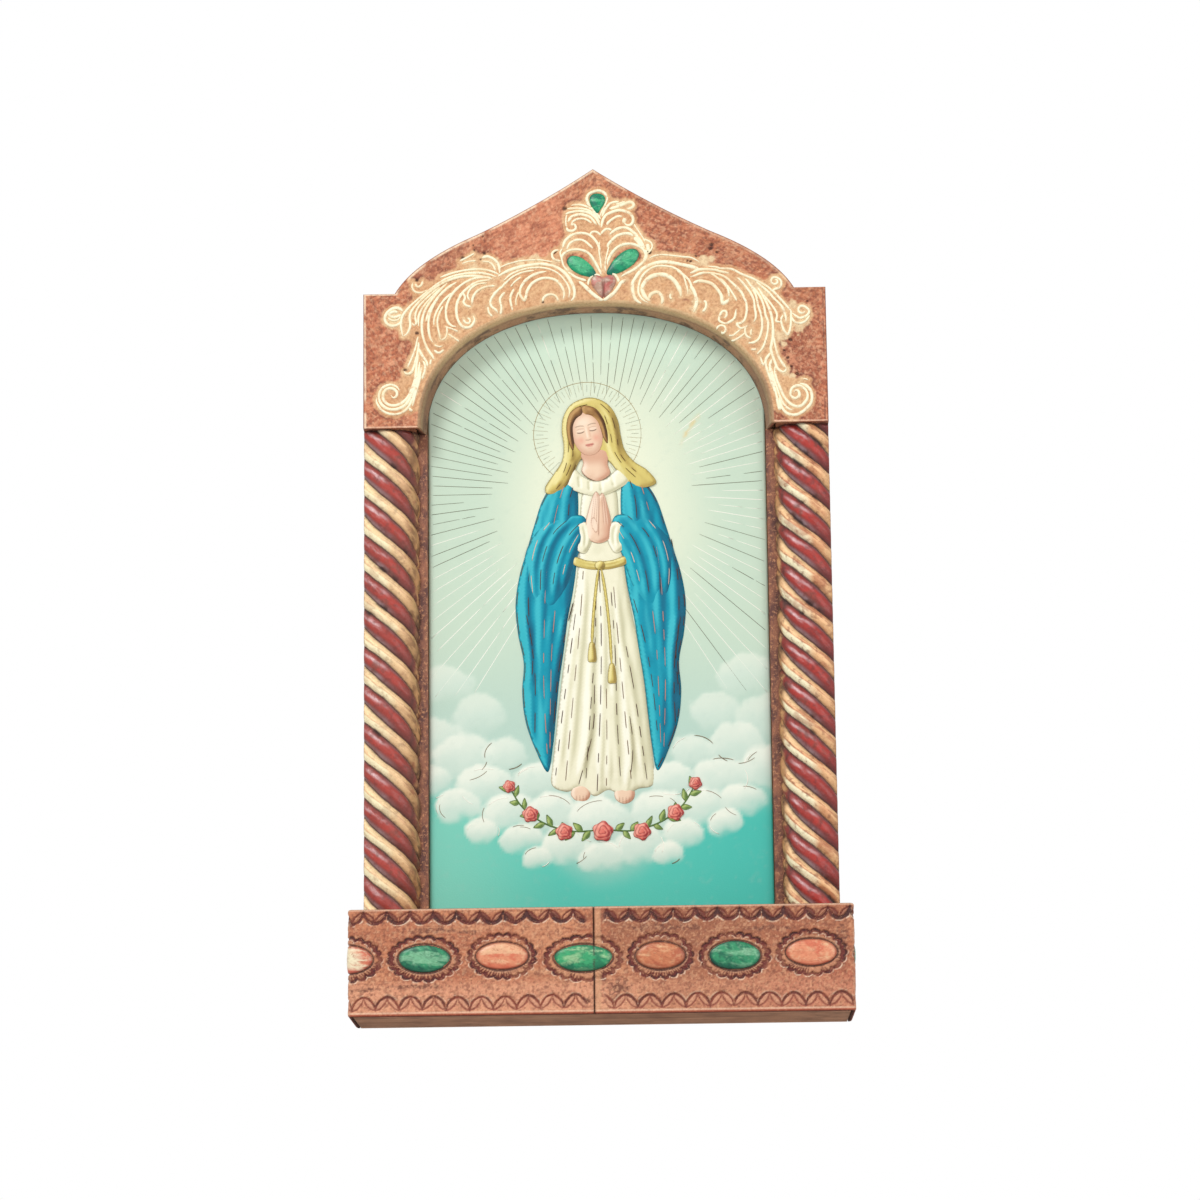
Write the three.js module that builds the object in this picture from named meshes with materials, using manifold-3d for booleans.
// A devotional plaque in the manner of Andean and Mexican tooled-leather work: a print in a
// carved and gilded wooden arch, on a leather-covered foot. Millimetres, +Z up, -Y to the viewer.
// The origin is the middle of the foot's underside.
import * as THREE from 'three';
import { mergeVertices } from 'three/addons/utils/BufferGeometryUtils.js';
import Module from 'manifold-3d';

const wasm = await Module();
wasm.setup();

// Foot, over its leather; its width is the frame's with an overhang at each end
const footOverhang = 4;
const footDepth = 38;
const footHeight = 38;
const footCornerRadius = 1.5;
const leather = 1.6;
const leatherEase = 0.6;
const seamX = -2.5;
const seamGap = 0.3;

// Painted ovals tooled into the foot's leather, one pitch apart and on round both ends
const ovalWidth = 18.4;
const ovalHeight = 9.2;
const ovalRise = 1.1;
const ovalZ = 20.2;
const ovalPitch = 27.4;
const ovalFirst = 27;

// Frame above the foot
const frameWidth = 170.8;
const columnHeight = 180;
const shoulderRise = 51.3;
const shoulderWidth = 11.6;
const haunchWidth = 30.3;
const haunchRise = 22.2;
const haunchPull = 7;
const haunchLift = 12.2;
const apexRise = 98.3;
const sweepWidth = 22.5;
const sweepLift = 10.8;
const archSpan = 128.4;
const archRise = 46.4;
const archFullness = 2.2;
const archSplay = 1.6;

// Thicknesses, back to front
const backBoard = 6;
const rabbetDepth = 20;
const stile = 4;
const headBoard = 13;
const seatGap = 0.3;

// Twisted columns: half-rounds carved as a rope, then sawn off flush with the frame's side
const columnWidth = 20.2;
const columnRound = 24;
const columnProud = 9.3;
const stileReveal = 2.7;
const strandPitch = 14;
const strandShare = 0.62;
const strandTip = 0.28;
const strandCrown = 0.8;
const twistStarts = 4;
const creaseDepth = 1.8;
const strandRows = [0, 0.18, 0.5, 0.82];
const ridgeRows = [0, 0.25, 0.75];
const columnSides = 14;

// Print on its card
const card = 0.8;
const cardLap = 6;

// Painted stones tooled into the leather over the arch
const crestX = 2.8;
const stoneRise = 1.1;
const heartLift = 6.2;
const heartShift = 0.5;
const heartWidth = 9.4;
const heartHeight = 8.6;
const heartTaper = 0.75;
const almondLift = 15;
const almondSpread = 8;
const almondLength = 12.2;
const almondWidth = 6.8;
const almondTaper = 0.5;
const almondTilt = 33;
const dropLift = 38.5;
const dropShift = -1.2;
const dropWidth = 6;
const dropHeight = 7.8;
const dropTaper = 0.8;

// Nails, driven from the back, their heads flush
const nailRadius = 0.7;
const nailHeadRadius = 1.5;
const nailHead = 0.6;
const nailPoint = 1.4;
const nailClearance = 0.3;
const nailBite = 4;
const footNailBite = 12;
const columnNailInset = 25;
const columnNails = 3;
const headNailInset = [55.4, 11.4];
const headNailRise = [64, 15];
const footNailInset = 27.5;

// Sawtooth hanger
const hangerWidth = 45;
const hangerHeight = 8;
const hangerSheet = 0.8;
const hangerOffset = 1.6;
const hangerEnd = 8;
const hangerSlope = 2;
const hangerRise = 70;
const toothPitch = 3;
const toothDepth = 1.8;
const hangerNailLength = 6;

// Places that follow from the sizes
const backY = footDepth / 2;
const boardFaceY = backY - backBoard;
const stileFaceY = boardFaceY - stile;
const headFaceY = boardFaceY - headBoard;
const columnTop = footHeight + columnHeight;
const shoulderZ = columnTop + shoulderRise;
const apexZ = columnTop + apexRise;
const archTop = columnTop + archRise;
const halfFrame = frameWidth / 2;
const footWidth = frameWidth + 2 * footOverhang;
const ovalCount = Math.ceil((footWidth - ovalFirst) / ovalPitch);
const columnX = halfFrame - columnWidth / 2;
const roundX = halfFrame - columnWidth + columnRound / 2;
const stileWidth = columnWidth + stileReveal;
const blockWidth = footWidth - 2 * (leather + seatGap);
const blockFaceY = -footDepth / 2 + leather + seatGap;
const rabbetFloor = footHeight - rabbetDepth;
const footNailX = [-1, 0, 1].map((side) => side * (blockWidth / 2 - footNailInset));
const cardHalf = halfFrame - stileWidth - seatGap;
const cardTop = archTop + cardLap;
const cardFaceY = boardFaceY - card;
const outside = 2 * (footWidth + apexZ);
const grain = 1e-4;

// A closed geometry as a solid, rounded so that faces that meet lie in exactly one plane
function solid(geometry) {
  const bare = geometry.clone();
  const at = bare.attributes.position;
  for (let i = 0; i < at.array.length; i += 1) at.array[i] = Math.round(at.array[i] / grain) * grain;
  bare.deleteAttribute('normal');
  bare.deleteAttribute('uv');
  const merged = mergeVertices(bare);
  return new wasm.Manifold(new wasm.Mesh({
    numProp: 3,
    vertProperties: Float32Array.from(merged.attributes.position.array),
    triVerts: Uint32Array.from(merged.index.array),
  }));
}

function geometryOf(body) {
  const mesh = body.getMesh();
  const geometry = new THREE.BufferGeometry();
  geometry.setAttribute('position', new THREE.BufferAttribute(mesh.vertProperties, 3));
  geometry.setIndex(new THREE.BufferAttribute(mesh.triVerts, 1));
  geometry.computeVertexNormals();
  return geometry;
}

// A box from its low corner to its high corner
function block(x0, x1, y0, y1, z0, z1) {
  const geometry = new THREE.BoxGeometry(x1 - x0, y1 - y0, z1 - z0);
  geometry.translate((x0 + x1) / 2, (y0 + y1) / 2, (z0 + z1) / 2);
  return solid(geometry);
}

// An upright plate with an outline in x and z, its back at y and its face eased
function plate(shape, thickness, y, ease = 0) {
  const geometry = new THREE.ExtrudeGeometry(shape, {
    depth: thickness - ease,
    bevelEnabled: ease > 0,
    bevelThickness: ease,
    bevelSize: ease,
    bevelOffset: -ease,
    bevelSegments: 2,
    curveSegments: 8,
  });
  geometry.rotateX(Math.PI / 2);
  geometry.translate(0, y, 0);
  const whole = solid(geometry);
  return ease > 0 ? whole.subtract(block(-outside, outside, y, y + outside, -outside, outside)) : whole;
}

// The arch from its right foot to its left: a basket arch, fuller than an ellipse
function archPoints(half, rise, z) {
  const steps = 28;
  const points = [];
  for (let i = 0; i <= steps; i += 1) {
    const turn = Math.PI * i / steps;
    const c = Math.cos(turn);
    const s = Math.sin(turn);
    const x = half * Math.sign(c) * Math.abs(c) ** (2 / archFullness);
    points.push(new THREE.Vector2(i === 0 ? half : i === steps ? -half : x,
      z + rise * Math.abs(s) ** (2 / archFullness) * (i % steps === 0 ? 0 : 1)));
  }
  return points;
}

// The head's top, from its left side over the ogee crown to its right side
function drawCrown(shape) {
  const ledgeX = halfFrame - shoulderWidth;
  const hipX = ledgeX - haunchWidth;
  const hipZ = shoulderZ + haunchRise;
  shape.lineTo(-halfFrame, shoulderZ);
  shape.lineTo(-ledgeX, shoulderZ);
  shape.quadraticCurveTo(-ledgeX + haunchPull, shoulderZ + haunchLift, -hipX, hipZ);
  shape.quadraticCurveTo(-hipX + sweepWidth, hipZ + sweepLift, 0, apexZ);
  shape.quadraticCurveTo(hipX - sweepWidth, hipZ + sweepLift, hipX, hipZ);
  shape.quadraticCurveTo(ledgeX - haunchPull, shoulderZ + haunchLift, ledgeX, shoulderZ);
  shape.lineTo(halfFrame, shoulderZ);
}

// The head in front view, its arch wider all round by a margin
function headShape(margin) {
  const shape = new THREE.Shape();
  shape.moveTo(-halfFrame, columnTop);
  drawCrown(shape);
  shape.lineTo(halfFrame, columnTop);
  for (const p of archPoints(archSpan / 2 + margin, archRise + margin, columnTop)) shape.lineTo(p.x, p.y);
  shape.closePath();
  return shape;
}

// A nail along +y from its flush head at the back; grown by a clearance it is its own hole
function nailBody(x, y, z, length, grow = 0) {
  const shank = nailRadius + grow;
  const head = nailHead + grow;
  const profile = [
    [0, -grow],
    [nailHeadRadius + grow, -grow],
    [nailHeadRadius + grow, head],
    [shank, head],
    [shank, length - nailPoint],
    [0, length + grow],
  ].map(([r, h]) => new THREE.Vector2(r, h));
  const geometry = new THREE.LatheGeometry(profile, 8);
  geometry.rotateX(Math.PI);
  geometry.translate(x, y, z);
  return solid(geometry);
}

// An oval dome: taper narrows its lower end, tilt turns it in its face, facing turns it round the foot
function dome(x, y, z, width, height, rise, { taper = 0, tilt = 0, facing = 0 } = {}) {
  const geometry = new THREE.SphereGeometry(1, 16, 10);
  const at = geometry.attributes.position;
  for (let i = 0; i < at.count; i += 1) {
    const up = at.getY(i);
    const slim = 1 + taper * (up - 1) / 2;
    at.setXYZ(i, at.getX(i) * slim * width / 2, at.getZ(i) * rise, up * height / 2);
  }
  geometry.index.array.reverse();
  geometry.rotateY(THREE.MathUtils.degToRad(tilt));
  geometry.rotateZ(THREE.MathUtils.degToRad(facing));
  geometry.translate(x, y, z);
  return solid(geometry);
}

function baseBlock() {
  const wood = block(-blockWidth / 2, blockWidth / 2, blockFaceY, backY, 0, footHeight);
  const rabbet = block(-outside, outside, boardFaceY - seatGap, outside, rabbetFloor, outside);
  return footNailX.reduce((body, x) => body.subtract(footNail(x, nailClearance)), wood.subtract(rabbet));
}

// The foot's leather before it is cut at the seam: front and both ends, with its painted ovals
function footLeather() {
  const hw = footWidth / 2;
  const hd = footDepth / 2;
  const r = footCornerRadius;
  const plan = new THREE.Shape();
  plan.moveTo(hw, hd);
  plan.lineTo(-hw, hd);
  plan.lineTo(-hw, -hd + r);
  plan.absarc(-hw + r, -hd + r, r, Math.PI, 1.5 * Math.PI, false);
  plan.lineTo(hw - r, -hd);
  plan.absarc(hw - r, -hd + r, r, -Math.PI / 2, 0, false);
  plan.closePath();
  const geometry = new THREE.ExtrudeGeometry(plan, {
    depth: footHeight - 2 * leatherEase,
    bevelThickness: leatherEase,
    bevelSize: leatherEase,
    bevelOffset: -leatherEase,
    bevelSegments: 2,
    curveSegments: 3,
  });
  geometry.translate(0, 0, leatherEase);
  const inside = block(-hw + leather, hw - leather, -hd + leather, outside, -outside, outside);
  const behind = block(-outside, outside, backY - leatherEase, outside, -outside, outside);
  let skin = solid(geometry).subtract(inside).subtract(behind);
  for (let i = 0; i < ovalCount; i += 1) {
    skin = skin.add(dome(-hw + ovalFirst + i * ovalPitch, -hd, ovalZ, ovalWidth, ovalHeight, ovalRise));
  }
  const pastLeft = ovalFirst - 2 * ovalPitch;
  const pastRight = ovalFirst + ovalCount * ovalPitch - footWidth;
  skin = skin.add(dome(-hw, -hd - pastLeft, ovalZ, ovalWidth, ovalHeight, ovalRise, { facing: 90 }));
  skin = skin.add(dome(hw, -hd + pastRight, ovalZ, ovalWidth, ovalHeight, ovalRise, { facing: 90 }));
  return skin.subtract(inside).subtract(behind);
}

function backPlate() {
  const shape = new THREE.Shape();
  shape.moveTo(-halfFrame, rabbetFloor);
  drawCrown(shape);
  shape.lineTo(halfFrame, rabbetFloor);
  shape.closePath();
  let body = plate(shape, backBoard, backY);
  for (const x of footNailX) body = body.subtract(footNail(x, nailClearance));
  for (const nail of headNailPlaces()) body = body.subtract(headNail(nail, nailClearance));
  for (const nail of columnNailPlaces()) body = body.subtract(columnNail(nail, nailClearance));
  for (const side of [-1, 1]) body = body.subtract(hangerNail(side, nailClearance));
  return body;
}

function printCard() {
  return block(-cardHalf, cardHalf, cardFaceY, boardFaceY, footHeight + seatGap, cardTop);
}

function stileStrip(side) {
  const inner = halfFrame - stileWidth;
  const low = side > 0 ? inner : -halfFrame;
  const body = block(low, low + stileWidth, stileFaceY, boardFaceY, footHeight, columnTop);
  return columnNailPlaces().reduce((rest, nail) => rest.subtract(columnNail(nail, nailClearance)), body);
}

// The carving in one pitch, at a share of its height: each row's place and how far it stands
// above the creases. A wide strand, narrower towards both edges, lies beside a slim ridge.
function carvedRows(angle) {
  const share = strandTip + (strandShare - strandTip) * Math.sin(angle);
  const middle = strandShare / 2;
  const strand = strandRows.map((t) => [
    middle + (t - 0.5) * share,
    strandCrown * Math.sin(Math.PI * t) ** 0.7,
  ]);
  const ridge = ridgeRows.map((t) => [middle + share / 2 + t * (1 - share), Math.sin(Math.PI * t) ** 0.5]);
  return [...strand, ...ridge];
}

// A column before it is sawn: its mesh rows follow the strands, which fall to the right, so that
// each crease is a clean edge. The rope is sawn square at its ends and flush at its outer side.
function columnBody(side) {
  const lead = twistStarts * strandPitch;
  const first = -Math.ceil(lead / 4 / strandPitch) - 2;
  const last = Math.ceil((columnHeight + lead / 4) / strandPitch) + 2;
  const rowsInPitch = carvedRows(0).length;
  const rowCount = (last - first) * rowsInPitch;
  const vertices = [];
  const faces = [];
  const ring = columnSides + 1;
  for (let i = 0; i < rowCount; i += 1) {
    const turn = first + Math.floor(i / rowsInPitch);
    for (let j = 0; j < ring; j += 1) {
      const angle = Math.PI * j / columnSides;
      const [share, height] = carvedRows(angle)[i % rowsInPitch];
      const cut = creaseDepth * (1 - height);
      const x = -(columnRound / 2 - cut) * Math.cos(angle);
      const y = -(columnProud - cut) * Math.sin(angle) * (j % columnSides === 0 ? 0 : 1);
      vertices.push(x, y, (turn + share) * strandPitch + lead / 2 * (0.5 - j / columnSides));
    }
  }
  for (let i = 0; i + 1 < rowCount; i += 1) {
    for (let j = 0; j < ring; j += 1) {
      const a = i * ring + j;
      const b = i * ring + (j + 1) % ring;
      faces.push(a, b, b + ring, a, b + ring, a + ring);
    }
  }
  const top = (rowCount - 1) * ring;
  for (let j = 1; j + 1 < ring; j += 1) {
    faces.push(0, j + 1, j, top, top + j, top + j + 1);
  }
  const rope = new wasm.Manifold(new wasm.Mesh({
    numProp: 3,
    vertProperties: Float32Array.from(vertices),
    triVerts: Uint32Array.from(faces),
  })).translate([side * roundX, stileFaceY, footHeight]);
  const low = side > 0 ? 0 : -halfFrame;
  const sawn = rope.intersect(block(low, low + halfFrame, -outside, outside, footHeight, columnTop));
  return columnNailPlaces().reduce((rest, nail) => rest.subtract(columnNail(nail, nailClearance)), sawn);
}

// The head's board, with a shallow rebate behind for the card
function headWood() {
  const reach = cardHalf + seatGap;
  const rebate = block(-reach, reach, cardFaceY - seatGap, outside, 0, cardTop + seatGap);
  const body = plate(headShape(leather + seatGap), headBoard, boardFaceY).subtract(rebate);
  return headNailPlaces().reduce((rest, nail) => rest.subtract(headNail(nail, nailClearance)), body);
}

// A strip between two upright outlines of as many points, one in front and one behind
function loft(front, frontY, back, backPlaneY) {
  const count = front.length;
  const vertices = [];
  for (const p of front) vertices.push(p.x, frontY, p.y);
  for (const p of back) vertices.push(p.x, backPlaneY, p.y);
  const faces = [];
  for (const [a, b, c] of THREE.ShapeUtils.triangulateShape(front, [])) faces.push(a, b, c);
  for (const [a, b, c] of THREE.ShapeUtils.triangulateShape(back, [])) {
    faces.push(count + c, count + b, count + a);
  }
  for (let i = 0; i < count; i += 1) {
    const next = (i + 1) % count;
    faces.push(i, count + i, count + next, i, count + next, next);
  }
  const geometry = new THREE.BufferGeometry();
  geometry.setAttribute('position', new THREE.Float32BufferAttribute(vertices, 3));
  geometry.setIndex(faces);
  return solid(geometry);
}

// The lining's outline: the arch with the leather's thickness outside it
function liningOutline(half) {
  const outer = archPoints(half + leather, archRise + leather, columnTop);
  return [...outer, ...archPoints(half, archRise, columnTop).reverse()];
}

// The head's leather: a facing with painted stones, turned in round the arch down to the print,
// where the arch is a little narrower
function headLeather() {
  const half = archSpan / 2;
  const lining = loft(liningOutline(half), headFaceY - leather / 2,
    liningOutline(half - archSplay), cardFaceY - seatGap);
  let body = plate(headShape(0), leather, headFaceY, leatherEase).add(lining);
  const faceY = headFaceY - leather;
  body = body.add(dome(crestX + heartShift, faceY, archTop + heartLift, heartWidth, heartHeight,
    stoneRise, { taper: heartTaper }));
  body = body.add(dome(crestX + dropShift, faceY, archTop + dropLift, dropWidth, dropHeight,
    stoneRise, { taper: dropTaper }));
  for (const side of [-1, 1]) {
    body = body.add(dome(crestX + side * almondSpread, faceY, archTop + almondLift,
      almondWidth, almondLength, stoneRise, { taper: almondTaper, tilt: side * (90 - almondTilt) }));
  }
  return body;
}

function footNail(x, grow = 0) {
  return nailBody(x, backY, (rabbetFloor + footHeight) / 2, backBoard + footNailBite, grow);
}

function headNailPlaces() {
  return [-1, 1].flatMap((side) => headNailInset.map((inset, i) => [
    side * (halfFrame - inset),
    columnTop + headNailRise[i],
  ]));
}

function headNail([x, z], grow = 0) {
  return nailBody(x, backY, z, backBoard + 2 * nailBite, grow);
}

function columnNailPlaces() {
  const step = (columnHeight - 2 * columnNailInset) / (columnNails - 1);
  return [-1, 1].flatMap((side) => Array.from({ length: columnNails },
    (_, i) => [side * columnX, footHeight + columnNailInset + i * step]));
}

function columnNail([x, z], grow = 0) {
  return nailBody(x, backY, z, backBoard + stile + nailBite, grow);
}

function hangerNail(side, grow = 0) {
  const x = side * (hangerWidth - hangerEnd) / 2;
  return nailBody(x, backY + hangerSheet + nailHead, columnTop + hangerRise, hangerNailLength, grow);
}

// A stamped strip: flat ends nailed down, and a raised middle with teeth along its lower edge
function hangerStrip() {
  const hw = hangerWidth / 2;
  const flat = hw - hangerEnd;
  const raised = flat - hangerSlope;
  const plan = new THREE.Shape();
  plan.moveTo(-hw, 0);
  plan.lineTo(-flat, 0);
  plan.lineTo(-raised, hangerOffset);
  plan.lineTo(raised, hangerOffset);
  plan.lineTo(flat, 0);
  plan.lineTo(hw, 0);
  plan.lineTo(hw, hangerSheet);
  plan.lineTo(flat, hangerSheet);
  plan.lineTo(raised, hangerOffset + hangerSheet);
  plan.lineTo(-raised, hangerOffset + hangerSheet);
  plan.lineTo(-flat, hangerSheet);
  plan.lineTo(-hw, hangerSheet);
  plan.closePath();
  const geometry = new THREE.ExtrudeGeometry(plan, { depth: hangerHeight, bevelEnabled: false });
  const low = columnTop + hangerRise - hangerHeight / 2;
  geometry.translate(0, backY, low);
  let strip = solid(geometry);
  const teeth = Math.floor(2 * raised / toothPitch);
  for (let i = 0; i < teeth; i += 1) {
    const x = (i - (teeth - 1) / 2) * toothPitch;
    const notch = new THREE.Shape();
    notch.moveTo(x - toothPitch / 2, low - toothDepth);
    notch.lineTo(x, low + toothDepth);
    notch.lineTo(x + toothPitch / 2, low - toothDepth);
    notch.closePath();
    strip = strip.subtract(plate(notch, hangerHeight, backY + hangerHeight));
  }
  for (const side of [-1, 1]) {
    const reach = nailRadius + nailClearance;
    const hole = new THREE.CylinderGeometry(reach, reach, outside, 8);
    hole.translate(side * (hangerWidth - hangerEnd) / 2, 0, columnTop + hangerRise);
    strip = strip.subtract(solid(hole));
  }
  return strip;
}

const finish = (color, roughness, metalness = 0) => ({ color, roughness, metalness });
const stainedWood = finish(0x6e4630, 0.75);
const bareBoard = finish(0xb58a5c, 0.85);
const tooledLeather = finish(0xb8714f, 0.55, 0.1);
const redGilt = finish(0x9a3c2a, 0.35, 0.2);
const darkPaint = finish(0x5e3328, 0.6);
const foilPrint = finish(0xc8e1d2, 0.4, 0.1);
const steel = finish(0x9a9a96, 0.4, 0.9);

const group = new THREE.Group();

function add(name, body, look) {
  const mesh = new THREE.Mesh(geometryOf(body), new THREE.MeshStandardMaterial(look));
  mesh.name = name;
  group.add(mesh);
}

add('base_block', baseBlock(), stainedWood);
const skin = footLeather();
const cutLeft = block(seamX - seamGap / 2, outside, -outside, outside, -outside, outside);
const cutRight = block(-outside, seamX + seamGap / 2, -outside, outside, -outside, outside);
add('base_leather_left', skin.subtract(cutLeft), tooledLeather);
add('base_leather_right', skin.subtract(cutRight), tooledLeather);
add('back_board', backPlate(), bareBoard);
add('print_card', printCard(), foilPrint);
add('left_stile', stileStrip(-1), darkPaint);
add('right_stile', stileStrip(1), darkPaint);
add('left_column', columnBody(-1), redGilt);
add('right_column', columnBody(1), redGilt);
add('pediment_board', headWood(), darkPaint);
add('pediment_leather', headLeather(), tooledLeather);
headNailPlaces().forEach((nail, i) => add(`pediment_nail_${i + 1}`, headNail(nail), steel));
columnNailPlaces().forEach((nail, i) => add(`column_nail_${i + 1}`, columnNail(nail), steel));
footNailX.forEach((x, i) => add(`base_nail_${i + 1}`, footNail(x), steel));
add('hanger_plate', hangerStrip(), steel);
add('hanger_nail_left', hangerNail(-1), steel);
add('hanger_nail_right', hangerNail(1), steel);

export default group;
